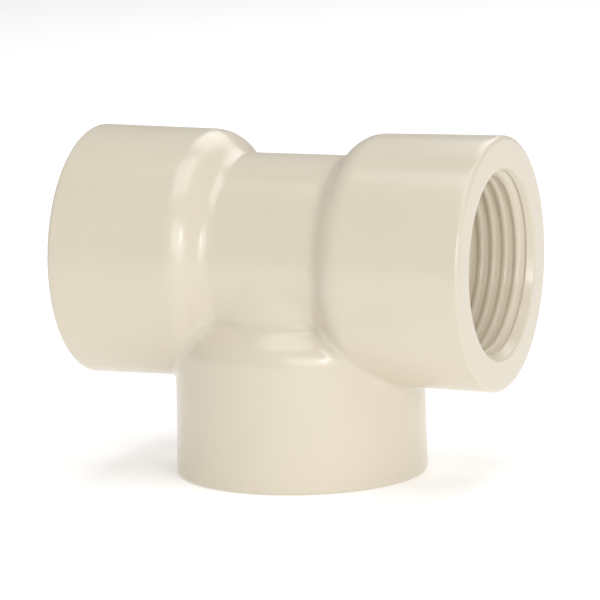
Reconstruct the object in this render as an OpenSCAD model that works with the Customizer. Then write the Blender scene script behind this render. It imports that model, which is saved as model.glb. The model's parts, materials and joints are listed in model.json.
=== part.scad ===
// Equal tee with three female parallel pipe threads, moulded in one piece.
// The origin is the centre of the branch mouth, the face that the tee stands on.
// The run lies along X and the branch points down along Z. Sizes are in millimetres.
// Each port is drawn up the Z axis from the crossing of the axes, then turned into place.

/* [Ports] */
// Distance from the crossing of the axes to each mouth
centre_to_end = 31.1; // [28:0.1:40]
// Outer diameter of each hub at its mouth
hub_d = 36; // [32:0.5:44]
// Length of the straight part of each hub, from its mouth to its shoulder
hub_length = 17.7; // [16:0.1:20]
// Fall in hub radius from the mouth to the shoulder, left by the mould's draft
hub_draft = 0.2; // [0:0.05:0.5]
// Radius of the shoulder's outer bend, where the hub turns inwards
shoulder_round = 4.7; // [1:0.1:5]
// Radius of the shoulder's inner bend, where it meets the barrel
shoulder_fillet = 2.5; // [0.6:0.1:3]
// Steepest angle that the shoulder reaches to the port's axis
shoulder_angle = 46; // [40:1:75]
// Rounding of the outer edge of each mouth
mouth_round = 0.6; // [0.2:0.1:1.5]

/* [Waterway] */
// Outer diameter of the run barrel and of the branch neck
barrel_d = 29.1; // [26:0.1:31]
// Inner diameter of the run barrel and of the branch neck
waterway_d = 21; // [14:0.5:23]

/* [Thread] */
// Diameter over the roots, 26.441 for a three quarter inch pipe
thread_d = 26.441; // [24:0.001:30]
// Depth from the crests to the roots
thread_depth = 0.9; // [0.7:0.02:1.1]
// Threads per inch
threads_per_inch = 14; // [11:1:16]
// Angle between the flanks
flank_angle = 55; // [50:1:60]
// Length of the thread below the mouth
thread_length = 14.5; // [10:0.5:16]
// Plain length between the thread and the socket's floor
pilot_length = 1.5; // [0.5:0.25:2.5]
// Widening of the crests at the mouth, where a cone leads the pipe in
lead_in = 1.2; // [0.3:0.1:1.5]
// Depth of that cone
lead_in_depth = 2.3; // [0.3:0.1:3]
// Angle around the port at which the groove leaves the mouth
thread_exit = 25; // [0:5:355]

/* [Hidden] */
$fn = 96;
ivory = [0.90, 0.86, 0.78];
inch = 25.4;
arc_steps = 8;        // chords in each bend of the hub's outline
thread_steps = 32;    // chords in each turn of the groove
fade_turns = 0.1;     // part of a turn over which the groove deepens at its inner end
fade_start = 0.05;    // share of its full depth that the groove starts with

hub_r = hub_d / 2;
shoulder_r = hub_r - hub_draft;
barrel_r = barrel_d / 2;
waterway_r = waterway_d / 2;
root_r = thread_d / 2;
crest_r = root_r - thread_depth;
pitch = inch / threads_per_inch;
flank_slope = tan(flank_angle / 2);
root_flat = pitch / 6;
groove_width = root_flat + 2 * thread_depth * flank_slope;
crest_flat = pitch - groove_width;
overcut = crest_flat / (4 * flank_slope);    // keeps the turns of the cutting shape apart

// Distances from the crossing of the axes, along each port.
hub_start = centre_to_end - hub_length;
thread_start = centre_to_end - thread_length;
socket_floor = thread_start - pilot_length;

// The shoulder is two bends, joined by a cone where the fall in radius leaves room for it.
shoulder_fall = shoulder_r - barrel_r;
bends = shoulder_round + shoulder_fillet;
bend_angle = min(shoulder_angle, acos(1 - shoulder_fall / bends));
cone_fall = shoulder_fall - bends * (1 - cos(bend_angle));
shoulder_start = hub_start - bends * sin(bend_angle) - cone_fall / tan(bend_angle);
beyond = 2 * (centre_to_end + hub_d);    // longer than the whole tee
past = 1;    // how far a bore is drawn past the faces that it cuts

// Points on an arc about a centre, from one angle to another.
function arc(centre, radius, from, to) = [
    for (i = [0 : arc_steps])
        let (angle = from + (to - from) * i / arc_steps)
            centre + radius * [cos(angle), sin(angle)]
];

// The two bends of the shoulder, as [radius, distance from the crossing], from barrel to hub.
shoulder_outline = concat(
    arc([barrel_r + shoulder_fillet, shoulder_start], shoulder_fillet, 180, 180 - bend_angle),
    arc([shoulder_r - shoulder_round, hub_start], shoulder_round, -bend_angle, 0)
);

mouth_edge = arc([hub_r - mouth_round, centre_to_end - mouth_round], mouth_round, 0, 90);

// Half section of the socket's wall, from the cone at the mouth back to the waterway.
socket_outline = [
    [crest_r + lead_in, centre_to_end], [crest_r, centre_to_end - lead_in_depth],
    [crest_r, socket_floor], [waterway_r, socket_floor], [waterway_r, hub_start]
];

// Section of the groove, as [radius, offset along the port], at a share of its full depth.
// It is drawn past the crests, into the open bore, and stops at the roots.
function groove_section(share) =
    let (
        inner_r = crest_r - overcut,
        outer_r = inner_r + share * (root_r - inner_r),
        inner_half = groove_width / 2 + overcut * flank_slope,
        outer_half = inner_half - (outer_r - inner_r) * flank_slope
    )
    [[inner_r, -inner_half], [outer_r, -outer_half], [outer_r, outer_half], [inner_r, inner_half]];

// The helical groove, from the thread's inner end to one pitch past the mouth.
module thread_groove() {
    first_centre = thread_start + groove_width / 2;
    turns_to_mouth = (centre_to_end - first_centre) / pitch;
    count = ceil((turns_to_mouth + 1) * thread_steps);
    corners = [
        for (i = [0 : count])
            let (turn = i / thread_steps)
                for (q = groove_section(min(1, fade_start + turn / fade_turns)))
                    [q[0] * cos(360 * turn), q[0] * sin(360 * turn), turn * pitch + q[1]]
    ];
    sides = [
        for (i = [0 : count - 1], j = [0 : 3])
            [4 * i + j, 4 * i + (j + 1) % 4, 4 * i + 4 + (j + 1) % 4, 4 * i + 4 + j]
    ];
    inner_end = [3, 2, 1, 0];
    outer_end = [4 * count, 4 * count + 1, 4 * count + 2, 4 * count + 3];
    translate([0, 0, first_centre])
        rotate([0, 0, thread_exit - 360 * turns_to_mouth])
            polyhedron(corners, concat([inner_end], sides, [outer_end]));
}

// The straight part of a port, with its socket and thread.
module port_hub() {
    difference() {
        rotate_extrude()
            polygon(concat([[shoulder_r, hub_start]], mouth_edge, socket_outline));
        thread_groove();
    }
}

module port_shoulder() {
    rotate_extrude()
        polygon(concat(shoulder_outline, [[waterway_r, hub_start], [waterway_r, shoulder_start]]));
}

// The waterway's wall from the crossing to the shoulder.
module port_wall() {
    difference() {
        cylinder(r = barrel_r, h = shoulder_start);
        translate([0, 0, -past])
            cylinder(r = waterway_r, h = shoulder_start + 2 * past);
    }
}

module in_left_port() {
    translate([0, 0, centre_to_end])
        rotate([0, -90, 0])
            children();
}

module in_right_port() {
    translate([0, 0, centre_to_end])
        rotate([0, 90, 0])
            children();
}

module in_branch_port() {
    translate([0, 0, centre_to_end])
        rotate([180, 0, 0])
            children();
}

// The wedge below the crossing that is nearer to the branch than to the run.
module branch_wedge() {
    translate([0, 0, centre_to_end])
        rotate([90, 0, 0])
            linear_extrude(beyond, center = true)
                polygon([[0, 0], [-beyond, -beyond], [beyond, -beyond]]);
}

module run_side() {
    difference() {
        children();
        branch_wedge();
    }
}

module branch_side() {
    intersection() {
        children();
        branch_wedge();
    }
}

module run_barrel() {
    color(ivory) run_side() difference() {
        translate([-shoulder_start, 0, centre_to_end])
            rotate([0, 90, 0])
                cylinder(r = barrel_r, h = 2 * shoulder_start);
        translate([-shoulder_start - past, 0, centre_to_end])
            rotate([0, 90, 0])
                cylinder(r = waterway_r, h = 2 * (shoulder_start + past));
    }
}

module branch_neck() {
    color(ivory) branch_side() in_branch_port() port_wall();
}

module left_shoulder() {
    color(ivory) run_side() in_left_port() port_shoulder();
}

module right_shoulder() {
    color(ivory) run_side() in_right_port() port_shoulder();
}

module branch_shoulder() {
    color(ivory) branch_side() in_branch_port() port_shoulder();
}

module left_hub() {
    color(ivory) run_side() in_left_port() port_hub();
}

module right_hub() {
    color(ivory) run_side() in_right_port() port_hub();
}

module branch_hub() {
    color(ivory) branch_side() in_branch_port() port_hub();
}

run_barrel();
branch_neck();
left_shoulder();
right_shoulder();
branch_shoulder();
left_hub();
right_hub();
branch_hub();
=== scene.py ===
"""A cream pipe tee with three threaded ports, standing on its branch mouth on a pale floor.

The tee is one moulding. Each CAD region gets a closed mesh of its own, and neighbours share
their edge points and their normals, so no seam shows where they meet. The shape is worked out
in millimetres from the crossing of the three axes, with Z up, and each port is swept about its
axis from a half section that is given as rows of (distance along the port, radius).
"""
import json
from math import acos, atan2, ceil, cos, inf, pi, radians, sin, sqrt, tan

import bmesh
import bpy
import numpy as np
from mathutils import Matrix, Vector, kdtree


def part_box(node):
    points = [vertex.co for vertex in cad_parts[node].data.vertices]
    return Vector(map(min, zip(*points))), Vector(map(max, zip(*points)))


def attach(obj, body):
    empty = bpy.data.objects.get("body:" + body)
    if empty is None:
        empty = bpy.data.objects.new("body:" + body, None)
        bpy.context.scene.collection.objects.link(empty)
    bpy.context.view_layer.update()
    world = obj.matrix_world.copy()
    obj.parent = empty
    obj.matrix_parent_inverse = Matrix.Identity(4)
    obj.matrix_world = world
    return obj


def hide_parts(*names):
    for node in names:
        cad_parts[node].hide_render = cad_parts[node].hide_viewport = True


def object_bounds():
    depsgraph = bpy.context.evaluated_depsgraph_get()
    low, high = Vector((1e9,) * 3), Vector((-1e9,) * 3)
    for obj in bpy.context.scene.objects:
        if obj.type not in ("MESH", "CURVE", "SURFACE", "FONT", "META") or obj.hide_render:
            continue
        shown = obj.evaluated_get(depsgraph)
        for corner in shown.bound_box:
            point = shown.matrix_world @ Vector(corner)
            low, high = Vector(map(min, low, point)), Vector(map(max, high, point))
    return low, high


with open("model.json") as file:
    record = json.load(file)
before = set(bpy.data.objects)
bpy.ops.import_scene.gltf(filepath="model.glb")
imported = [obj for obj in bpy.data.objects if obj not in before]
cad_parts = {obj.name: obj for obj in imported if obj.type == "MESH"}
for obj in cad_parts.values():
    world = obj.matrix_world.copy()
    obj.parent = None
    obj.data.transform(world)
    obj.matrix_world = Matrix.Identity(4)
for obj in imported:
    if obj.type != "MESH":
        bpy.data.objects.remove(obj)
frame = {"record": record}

MM = 0.001
cad_bounds = [list(corner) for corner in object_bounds()]

# ---------------------------------------------------------------- sizes from the frame

low, high = np.array(cad_bounds) / MM
mounts = {mount["name"]: mount for mount in frame["record"]["mounts"]}
end = high[0]                                    # from the crossing to each mouth
crossing = np.array([0, 0, end])
hub_r = high[2] - end
crest_r = mounts["right_port"]["dims"]["r_mm"]
hub_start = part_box("right_hub")[0][0] / MM
shoulder_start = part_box("right_shoulder")[0][0] / MM
barrel_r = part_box("run_barrel")[1][1] / MM

# ---------------------------------------------------------------- sizes of the moulding

draft = 0.2                     # fall in hub radius from the mouth to the shoulder
shoulder_round = 4.7            # outer bend of the shoulder
shoulder_fillet = 2.5           # inner bend of the shoulder
shoulder_angle = radians(46)    # slope of the cone between the two bends
mouth_round = 0.6
waterway_r = 10.5
floor_round = 0.45              # roundings of the socket's floor
crotch_round = 1.3              # fillet where two hubs meet outside
neck_round = 5.0                # and where the branch neck meets the barrel
bore_round = 0.5                # and where their waterways meet inside
witness_height = 0.035          # ridge left by the mould's parting plane
witness_width = 0.1
witness_fade = 2.0              # distance from a crease over which the ridge dies out

pitch = 25.4 / 14
thread_depth = 0.9
thread_length = 14.5
pilot_length = 1.5
lead_in = 1.2                   # widening of the crests at the mouth
lead_in_depth = 2.3             # depth of the cone that leads the pipe in
cone_angle = atan2(lead_in, lead_in_depth)
cone_round = 0.2                # blend of that cone and the thread
lip_round = 0.4                 # rounding of the mouth's inner edge
lip_depth = lip_round * (1 - sin(cone_angle))
lip_r = crest_r + lead_in + lip_depth / cos(cone_angle)
flank_slope = tan(radians(27.5))
groove_half = pitch / 12 + thread_depth * flank_slope
groove_round = 0.3              # rounding of the crests and the roots
groove_exit = radians(25)       # angle around the port at which the groove leaves the mouth
fade_length = 0.2
thread_start = end - thread_length
socket_floor = thread_start - pilot_length

# How the creases between ports are filled.
least_share = 0.001             # limits of a crease's reach, as shares of its full reach
most_share = 1.2
fill_span = 3                   # how many reaches from the mitre plane are looked at
fill_passes = 8                 # Newton steps onto the fillet
least_slope = 0.2               # keeps those steps short where the surface is steep
wall_step = 0.01                # half the distance over which a wall's slope is measured
height_step = 1e-4              # and the same for the height over the ports

# How finely each port is drawn.
widest_column = radians(3)
seam_angles = np.radians([0.2, 0.4, 0.7, 1.2])    # fine columns beside the parting ridge
steps_per_turn = 16             # rows in each turn of the thread

# Each port's axis, and the two directions that its angles are measured in.
PORTS = {
    "left": np.array([(-1, 0, 0), (0, 0, 1), (0, 1, 0)]),
    "right": np.array([(1, 0, 0), (0, 0, -1), (0, 1, 0)]),
    "branch": np.array([(0, 0, -1), (1, 0, 0), (0, -1, 0)]),
}
TOUCH = 1e-6                    # points nearer than this are on the same surface
WELD = 0.002                    # and points nearer than this become one


# ---------------------------------------------------------------- profiles

def smooth_max(a, b, reach):
    """The larger of a and b, with the corner between them rounded."""
    near = np.clip(reach - np.abs(a - b), 0, None)
    return np.maximum(a, b) + near**2 / (4 * reach)


def smooth_min(a, b, reach):
    return -smooth_max(-a, -b, reach)


def spread(start, stop, count, crowd=1.0):
    """Values from start to stop, closer together near start where crowd is over 1."""
    return start + (stop - start) * np.linspace(0, 1, count) ** crowd


def rows(distance, radius):
    """Points of a half section."""
    return np.column_stack(np.broadcast_arrays(distance, radius)).astype(float)


def shoulder_rows():
    """The two bends of the outer wall, from the barrel to the hub."""
    hub_end_r = hub_r - draft
    a = np.linspace(0, shoulder_angle, 14)
    inner = rows(shoulder_start + shoulder_fillet * np.sin(a), barrel_r + shoulder_fillet * (1 - np.cos(a)))
    outer = rows(hub_start - shoulder_round * np.sin(a), hub_end_r - shoulder_round * (1 - np.cos(a)))
    return np.vstack([inner, outer[::-1]])


WALL = np.vstack([rows(-end, barrel_r), shoulder_rows(), rows([end - mouth_round, 2 * end], hub_r)])


def outer_radius(distance):
    return np.interp(distance, WALL[:, 0], WALL[:, 1])


def bore_radius(distance):
    return np.full_like(distance, waterway_r)


def thread_radius(angle, distance):
    """Radius of the threaded wall, where the groove winds right-handed out to the mouth."""
    turns = (distance - end) / pitch - (angle - groove_exit) / (2 * pi)
    offset = (turns - np.round(turns)) * pitch
    flank = (groove_half - np.abs(offset)) / flank_slope
    depth = smooth_min(smooth_max(flank, 0.0, groove_round), thread_depth, groove_round)
    start = distance - offset - thread_start - groove_half
    depth = depth * np.clip(start / fade_length, 0, 1)
    depth = depth * np.clip((distance - thread_start) / fade_length, 0, 1)
    cone = crest_r + lead_in * (1 - (end - distance) / lead_in_depth)
    return smooth_max(crest_r + depth, cone, cone_round)


# ---------------------------------------------------------------- where two ports meet

def crease_reach(points, radius, neck_reach, hub_reach):
    """Reach of the fillet between run and branch: full at a square corner, none where they are flush."""
    x, y, z = np.abs(points).T
    along = np.clip((np.maximum(x, z) - shoulder_start) / (hub_start - shoulder_start), 0, 1)
    reach = neck_reach + (hub_reach - neck_reach) * along**2 * (3 - 2 * along)
    run_slope = (radius(x + wall_step) - radius(x - wall_step)) / (2 * wall_step)
    branch_slope = (radius(z + wall_step) - radius(z - wall_step)) / (2 * wall_step)
    run_rho, branch_rho = np.hypot(y, z), np.hypot(x, y)
    facing = y**2 / (run_rho * branch_rho) - run_slope * x / branch_rho - branch_slope * z / run_rho
    facing = facing / np.sqrt((1 + run_slope**2) * (1 + branch_slope**2))
    return reach * np.clip(1 - facing, least_share, most_share)


def height_over_ports(points, radius, reach):
    """Height over the joined surface of run and branch, with the crease between them filled."""
    x, y, z = points.T
    over_run = np.hypot(y, z) - radius(np.abs(x))
    over_branch = np.maximum(np.hypot(x, y) - radius(-z), z)
    return smooth_min(over_run, over_branch, reach)


def fill_crease(points, radius, neck_reach, hub_reach):
    """The points, with those near the crease of run and branch moved onto its fillet.

    They move alongside the mitre plane, so that none crosses it.
    """
    moved = points.copy()
    near = (points[:, 2] < 0) & (np.abs(np.abs(points[:, 0]) + points[:, 2]) < fill_span * neck_reach)
    p = moved[near]
    local_reach = crease_reach(p, radius, neck_reach, hub_reach)
    across = np.column_stack([np.where(p[:, 0] < 0, -1, 1), np.zeros(len(p)), np.ones(len(p))]) / sqrt(2)
    for _ in range(fill_passes):
        height = height_over_ports(p, radius, local_reach)
        slope = np.column_stack([
            (height_over_ports(p + d, radius, local_reach) - height_over_ports(p - d, radius, local_reach))
            for d in np.eye(3) * height_step
        ]) / (2 * height_step)
        slope = slope - across * (slope * across).sum(axis=1)[:, None]
        p = p - slope * (height / np.maximum((slope**2).sum(axis=1), least_slope))[:, None]
    moved[near] = p
    return moved


def witness_line(points):
    """Height of the ridge along the mould's parting plane, which holds all three axes."""
    clear_of_crease = np.clip(np.abs(np.abs(points[:, 0]) + points[:, 2]) / witness_fade, 0, 1)
    return witness_height * clear_of_crease * np.exp(-((points[:, 1] / witness_width) ** 2))


def mitre(share):
    """Distance along a port at which its outer wall meets the neighbouring port's."""
    over = WALL[:, 0] - WALL[:, 1] * share
    i = np.nonzero(over < 0)[0][-1]
    return WALL[i, 0] - over[i] * (WALL[i + 1, 0] - WALL[i, 0]) / (over[i + 1] - over[i])


def mitre_share(port, angle):
    """Share of its radius at which a port's wall starts: none where it faces no neighbour."""
    facing = {"left": -cos(angle), "right": cos(angle), "branch": abs(cos(angle))}[port]
    return facing if facing > TOUCH else 0.0


# ---------------------------------------------------------------- half sections

def mitre_corner(bore, skin, share, start):
    """The section's corner where the mitre plane meets the plane that the region starts at."""
    radius = start / share if share else inf
    if radius >= skin[-1, 1]:
        return skin[-1:]
    if radius <= waterway_r:
        return bore[:1]
    return rows(start, radius)


def wall_section(angle, share, start, stop):
    """Section of a plain region, and which of its sides lie on the surface of the moulding."""
    bore = rows(spread(np.clip(waterway_r * share, start, stop), stop, 16, 2.0), waterway_r)
    skin_at = spread(np.clip(mitre(share), start, stop), stop, 24, 1.5)[::-1]
    mitre_r = skin_at / share if share else inf
    skin = rows(skin_at, np.clip(outer_radius(skin_at), waterway_r, np.maximum(mitre_r, waterway_r)))
    section = np.vstack([bore, skin, mitre_corner(bore, skin, share, start)])
    shown = np.ones(len(section), bool)
    shown[[len(bore) - 1, -2, -1]] = False
    return section, shown


def socket_rows(angle):
    """The inner wall of a hub: waterway, socket floor, pilot bore, thread and rounded lip."""
    a = np.linspace(0, pi / 2, 5)
    turns = ceil(thread_length / pitch) + 1
    steps = np.arange(-turns * steps_per_turn, steps_per_turn + 1) / steps_per_turn
    turned = (angle - groove_exit) / (2 * pi)
    thread_at = np.clip(end + (steps + turned) * pitch, thread_start, end - lip_depth)
    b = np.linspace(cone_angle - pi / 2, 0, 7)[1:]
    return np.vstack([
        rows(np.linspace(hub_start, socket_floor - floor_round, 4)[:-1], waterway_r),
        rows(socket_floor - floor_round * (1 - np.sin(a)), waterway_r + floor_round * (1 - np.cos(a))),
        rows(socket_floor + floor_round * (1 - np.cos(a)), crest_r - floor_round * (1 - np.sin(a))),
        rows(np.linspace(socket_floor + floor_round, thread_start, 4)[1:-1], crest_r),
        rows(thread_at, thread_radius(angle, thread_at)),
        rows(end - lip_round * (1 - np.cos(b)), lip_r + lip_round * np.sin(b)),
    ])


def hub_section(angle, share):
    """Section of a threaded hub, and which of its sides lie on the surface of the moulding."""
    socket = socket_rows(angle)
    rim_r = hub_r - mouth_round
    a = np.linspace(0, pi / 2, 9)
    rim = rows(end, spread(socket[-1, 1], rim_r, 8, 1.6)[1:-1])
    edge = rows(end - mouth_round * (1 - np.cos(a)), rim_r + mouth_round * np.sin(a))
    skin_at = spread(max(mitre(share), hub_start), end - mouth_round, 30, 1.6)[::-1][1:]
    skin = rows(skin_at, outer_radius(skin_at))
    section = np.vstack([socket, rim, edge, skin, mitre_corner(socket, skin, share, hub_start)])
    shown = np.ones(len(section), bool)
    shown[-2:] = False
    return section, shown


# ---------------------------------------------------------------- meshes

def column_angles():
    """Angles around a port, the same in each quarter, with one wherever a region has a corner."""
    corners = [
        acos(shoulder_start / waterway_r),
        acos(shoulder_start / barrel_r),
        acos(hub_start / (hub_r - draft)),
    ]
    marks = sorted([0, pi / 2, *seam_angles, *corners])
    quarter = np.concatenate([
        np.linspace(a, b, ceil((b - a) / widest_column) + 1)[:-1] for a, b in zip(marks, marks[1:])
    ])
    half = np.concatenate([quarter, [pi / 2], pi - quarter[::-1]])
    return np.concatenate([half, pi + half[1:]])


ANGLES = column_angles()


def sweep(port, section_at):
    """One region of a port: its points, its faces, and whether each face is on the surface."""
    axis, first, second = PORTS[port]
    drawn = [section_at(angle, mitre_share(port, angle)) for angle in ANGLES]
    shown = drawn[0][1]
    distance, radius = np.stack([section for section, _ in drawn]).transpose(2, 0, 1)
    outward = np.outer(np.cos(ANGLES), first) + np.outer(np.sin(ANGLES), second)
    outward = np.broadcast_to(outward[:, None], (*distance.shape, 3))
    points = axis * distance[..., None] + outward * radius[..., None]

    on_skin = np.abs(radius - outer_radius(distance)) < TOUCH
    on_bore = (np.abs(radius - waterway_r) < TOUCH) & (distance < socket_floor)
    points[on_skin] = fill_crease(points[on_skin], outer_radius, neck_round, crotch_round)
    points[on_bore] = fill_crease(points[on_bore], bore_radius, bore_round, bore_round)
    ridged = on_skin | (radius >= hub_r - mouth_round)
    points[ridged] += outward[ridged] * witness_line(points[ridged])[:, None]

    columns, count = distance.shape
    i, j = np.meshgrid(np.arange(count), np.arange(columns - 1))
    k = (i + 1) % count
    quads = np.stack([j * count + i, j * count + k, (j + 1) * count + k, (j + 1) * count + i], axis=-1)
    return points.reshape(-1, 3), quads.reshape(-1, 4), shown[i].reshape(-1)


def joined(parts):
    """Several regions' points and faces as one."""
    starts = np.cumsum([0] + [len(points) for points, _, _ in parts[:-1]])
    return (
        np.concatenate([points for points, _, _ in parts]),
        np.concatenate([quads + start for (_, quads, _), start in zip(parts, starts)]),
        np.concatenate([shown for _, _, shown in parts]),
    )


def clean_mesh(name, points, quads, shown):
    """A closed mesh in metres, with points that fall together merged and surface faces smooth."""
    mesh = bpy.data.meshes.new(name)
    mesh.from_pydata((points + crossing) * MM, [], quads.tolist())
    mesh.polygons.foreach_set("use_smooth", shown)
    bm = bmesh.new()
    bm.from_mesh(mesh)
    bmesh.ops.remove_doubles(bm, verts=bm.verts, dist=WELD * MM)
    inner_caps = [f for f in bm.faces if not f.smooth and all(abs(v.co.x) < TOUCH * MM for v in f.verts)]
    bmesh.ops.delete(bm, geom=inner_caps, context="FACES_ONLY")
    bmesh.ops.delete(bm, geom=[e for e in bm.edges if not e.link_faces], context="EDGES")
    bmesh.ops.delete(bm, geom=[v for v in bm.verts if not v.link_faces], context="VERTS")
    bmesh.ops.recalc_face_normals(bm, faces=bm.faces)
    bm.to_mesh(mesh)
    bm.free()
    return mesh


def surface_normals(parts):
    """A tree of the whole moulding's surface points, and the normal at each."""
    points, quads, shown = joined(parts)
    mesh = clean_mesh("whole_surface", points, quads[shown], np.ones(shown.sum(), bool))
    tree = kdtree.KDTree(len(mesh.vertices))
    for vertex in mesh.vertices:
        tree.insert(vertex.co, vertex.index)
    tree.balance()
    normals = [vertex.normal.copy() for vertex in mesh.vertices]
    bpy.data.meshes.remove(mesh)
    return tree, normals


def moulded_piece(node, part, surface, material):
    """The visible piece of one CAD node, shaded with the whole moulding's normals."""
    mesh = clean_mesh(node + "_moulding", *part)
    tree, normals = surface
    vertex_normals = [normals[tree.find(vertex.co)[1]] for vertex in mesh.vertices]
    loop_normals = []
    for polygon in mesh.polygons:
        for index in polygon.vertices:
            loop_normals.append(vertex_normals[index] if polygon.use_smooth else polygon.normal)
    mesh.normals_split_custom_set(loop_normals)
    mesh.materials.append(material)
    piece = bpy.data.objects.new(node + "_moulding", mesh)
    bpy.context.scene.collection.objects.link(piece)
    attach(piece, "root")
    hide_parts(node)
    return piece


# ---------------------------------------------------------------- materials

def node_maker(material):
    """A function that adds a node to a material and sets its sockets."""
    def add(kind, **inputs):
        node = material.node_tree.nodes.new(kind)
        for name, value in inputs.items():
            socket = node.inputs[name.replace("_", " ")]
            if isinstance(value, bpy.types.NodeSocket):
                material.node_tree.links.new(value, socket)
            else:
                socket.default_value = value
        return node
    return add


def cream_pvc():
    """Glossy cream PVC: faint flow marks in its colour, an uneven gloss and a slight orange peel.

    Its small emission is a painted glow over the whole surface. It stands in for light that soaks through
    the thin wall, and it lifts the shade in the sockets, grooves and creases.
    """
    material = bpy.data.materials.new("cream_pvc")
    material.use_nodes = True
    add = node_maker(material)
    shader = material.node_tree.nodes["Principled BSDF"]
    where = add("ShaderNodeTexCoord").outputs["Object"]
    flow = add("ShaderNodeTexNoise", Vector=where, Scale=70.0, Detail=2.0, Roughness=0.5)
    grain = add("ShaderNodeTexNoise", Vector=where, Scale=2600.0, Detail=2.0)
    peel = add("ShaderNodeTexNoise", Vector=where, Scale=420.0, Detail=2.0)
    colour = add("ShaderNodeValToRGB", Fac=flow.outputs["Fac"])
    colour.color_ramp.elements[0].color = (0.595, 0.540, 0.434, 1)
    colour.color_ramp.elements[0].position = 0.2
    colour.color_ramp.elements[1].color = (0.620, 0.563, 0.455, 1)
    colour.color_ramp.elements[1].position = 0.8
    gloss = add("ShaderNodeMapRange", Value=flow.outputs["Fac"])
    gloss.inputs["To Min"].default_value = 0.19
    gloss.inputs["To Max"].default_value = 0.265
    fine = add("ShaderNodeBump", Height=grain.outputs["Fac"], Strength=0.25, Distance=0.004 * MM)
    soft = add("ShaderNodeBump", Height=peel.outputs["Fac"], Strength=0.3, Distance=0.02 * MM,
               Normal=fine.outputs["Normal"])
    links = material.node_tree.links
    links.new(colour.outputs["Color"], shader.inputs["Base Color"])
    links.new(gloss.outputs["Result"], shader.inputs["Roughness"])
    links.new(soft.outputs["Normal"], shader.inputs["Normal"])
    shader.inputs["IOR"].default_value = 1.53
    # painted glow: a faint emission over the whole moulding that lifts its shade, in the sockets most of
    # all
    shader.inputs["Emission Color"].default_value = (1.0, 0.86, 0.68, 1)
    shader.inputs["Emission Strength"].default_value = 0.07
    return material


def floor_paint():
    """Matt white studio floor with the faintest mottling."""
    material = bpy.data.materials.new("floor_paint")
    material.use_nodes = True
    add = node_maker(material)
    shader = material.node_tree.nodes["Principled BSDF"]
    where = add("ShaderNodeTexCoord").outputs["Object"]
    mottle = add("ShaderNodeTexNoise", Vector=where, Scale=6.0, Detail=2.0)
    colour = add("ShaderNodeValToRGB", Fac=mottle.outputs["Fac"])
    colour.color_ramp.elements[0].color = (0.90, 0.90, 0.90, 1)
    colour.color_ramp.elements[1].color = (0.93, 0.93, 0.93, 1)
    material.node_tree.links.new(colour.outputs["Color"], shader.inputs["Base Color"])
    shader.inputs["Roughness"].default_value = 0.8
    shader.inputs["Specular IOR Level"].default_value = 0.1
    shader.inputs["Emission Color"].default_value = (1, 1, 1, 1)
    shader.inputs["Emission Strength"].default_value = 0.26
    return material


# ---------------------------------------------------------------- the tee

def build_tee():
    def region(start, stop):
        return lambda angle, share: wall_section(angle, share, start, stop)

    neck, shoulder = region(0.0, shoulder_start), region(shoulder_start, hub_start)
    parts = {
        "run_barrel": joined([sweep("left", neck), sweep("right", neck)]),
        "branch_neck": sweep("branch", neck),
    }
    for port in PORTS:
        parts[port + "_shoulder"] = sweep(port, shoulder)
        parts[port + "_hub"] = sweep(port, hub_section)
    surface = surface_normals(list(parts.values()))
    material = cream_pvc()
    for node, part in parts.items():
        moulded_piece(node, part, surface, material)


# ---------------------------------------------------------------- studio

def from_compass(azimuth, elevation, distance):
    """A place around the crossing: azimuth 0 is in front, along -Y, and turns towards +X."""
    a, e = radians(azimuth), radians(elevation)
    return Vector(crossing * MM) + distance * Vector((sin(a) * cos(e), -cos(a) * cos(e), sin(e)))


def softbox(name, azimuth, elevation, distance, width, height, power):
    light = bpy.data.lights.new(name, "AREA")
    light.shape = "RECTANGLE"
    light.size = width
    light.size_y = height
    light.energy = power
    lamp = bpy.data.objects.new(name, light)
    lamp.location = from_compass(azimuth, elevation, distance)
    lamp.rotation_euler = (Vector(crossing * MM) - lamp.location).to_track_quat("-Z", "Y").to_euler()
    bpy.context.scene.collection.objects.link(lamp)


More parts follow.
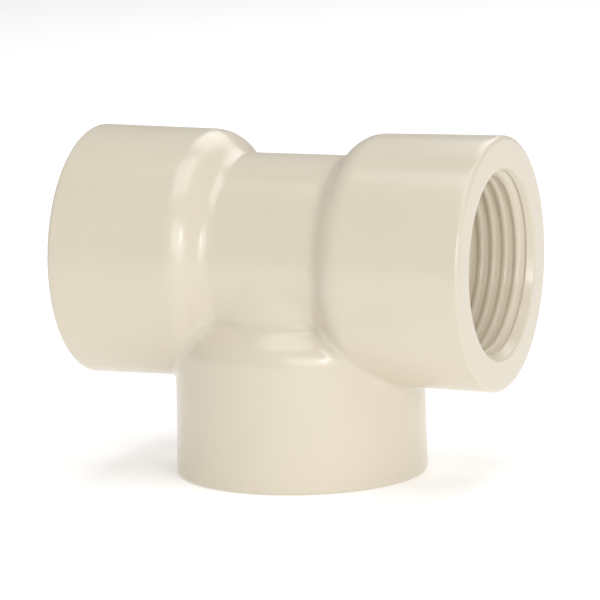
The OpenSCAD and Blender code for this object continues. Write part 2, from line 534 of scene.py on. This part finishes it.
def build_studio():
    half = 1.6
    mesh = bpy.data.meshes.new("floor")
    corners = [(-half, -half, 0), (half, -half, 0), (half, half, 0), (-half, half, 0)]
    mesh.from_pydata(corners, [], [(0, 1, 2, 3)])
    mesh.materials.append(floor_paint())
    floor = bpy.data.objects.new("floor", mesh)
    bpy.context.scene.collection.objects.link(floor)

    world = bpy.data.worlds.new("studio")
    world.use_nodes = True
    world.node_tree.nodes["Background"].inputs["Color"].default_value = (1, 1, 1, 1)
    world.node_tree.nodes["Background"].inputs["Strength"].default_value = 0.33
    bpy.context.scene.world = world
    bpy.context.scene.view_settings.view_transform = "Standard"

    softbox("key", azimuth=45, elevation=18.5, distance=0.9, width=0.08, height=0.12, power=0.9)
    softbox("front", azimuth=25, elevation=20, distance=0.9, width=0.4, height=0.4, power=1.45)
    softbox("low", azimuth=45, elevation=7, distance=0.9, width=0.5, height=0.2, power=0.9)
    softbox("side", azimuth=100, elevation=20, distance=0.9, width=0.5, height=0.5, power=0.6)
    softbox("top", azimuth=20, elevation=80, distance=0.9, width=0.7, height=0.7, power=3.8)
    softbox("rear", azimuth=180, elevation=45, distance=0.9, width=0.6, height=0.6, power=2.3)


def build_camera():
    """A long lens, a little above the tee and to its right, tilted by a degree."""
    azimuth, elevation, roll = radians(22.99), radians(9.559), radians(1.351)
    distance, aside, below = 570.755, -0.32, -6.326
    sensor_width, focal_length = 36, 240.04
    back = Vector((sin(azimuth) * cos(elevation), -cos(azimuth) * cos(elevation), sin(elevation)))
    level = Vector((cos(azimuth), sin(azimuth), 0))
    upright = back.cross(level)
    right = cos(roll) * level - sin(roll) * upright
    up = sin(roll) * level + cos(roll) * upright
    place = Vector(crossing) + distance * back - aside * right + below * up

    data = bpy.data.cameras.new("camera")
    data.sensor_width = sensor_width
    data.lens = focal_length
    camera = bpy.data.objects.new("camera", data)
    bpy.context.scene.collection.objects.link(camera)
    camera.matrix_world = Matrix.Translation(place * MM) @ Matrix((right, up, back)).transposed().to_4x4()
    bpy.context.scene.camera = camera


build_camera()
build_tee()
build_studio()
